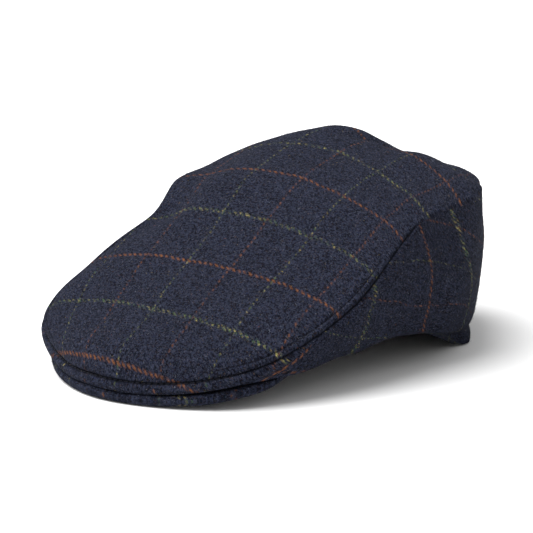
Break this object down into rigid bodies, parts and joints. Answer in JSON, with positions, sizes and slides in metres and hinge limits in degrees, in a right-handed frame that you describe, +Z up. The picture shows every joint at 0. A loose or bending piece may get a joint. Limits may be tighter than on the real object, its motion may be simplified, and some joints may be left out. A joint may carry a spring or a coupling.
{
  "type": "flat cap",
  "caption": "Soft tweed flat cap with a windowpane check: sloping one-piece top turned down over a stiff peak, and two side panels round an open head hollow",
  "frame": {"origin": "centre of the bounding box on the ground that the cap stands on", "axes": "+Z up, the peak points along -Y, the wearer's left is +X"},
  "size_m": [0.19, 0.269, 0.1076],
  "materials": {
    "tweed": "matt navy and grey wool tweed with a windowpane check of rust and yellow-green threads"
  },
  "bodies": {
    "root": {"crown_top": "tweed", "side_left": "tweed", "side_right": "tweed", "peak": "tweed"}
  },
  "joints": []
}
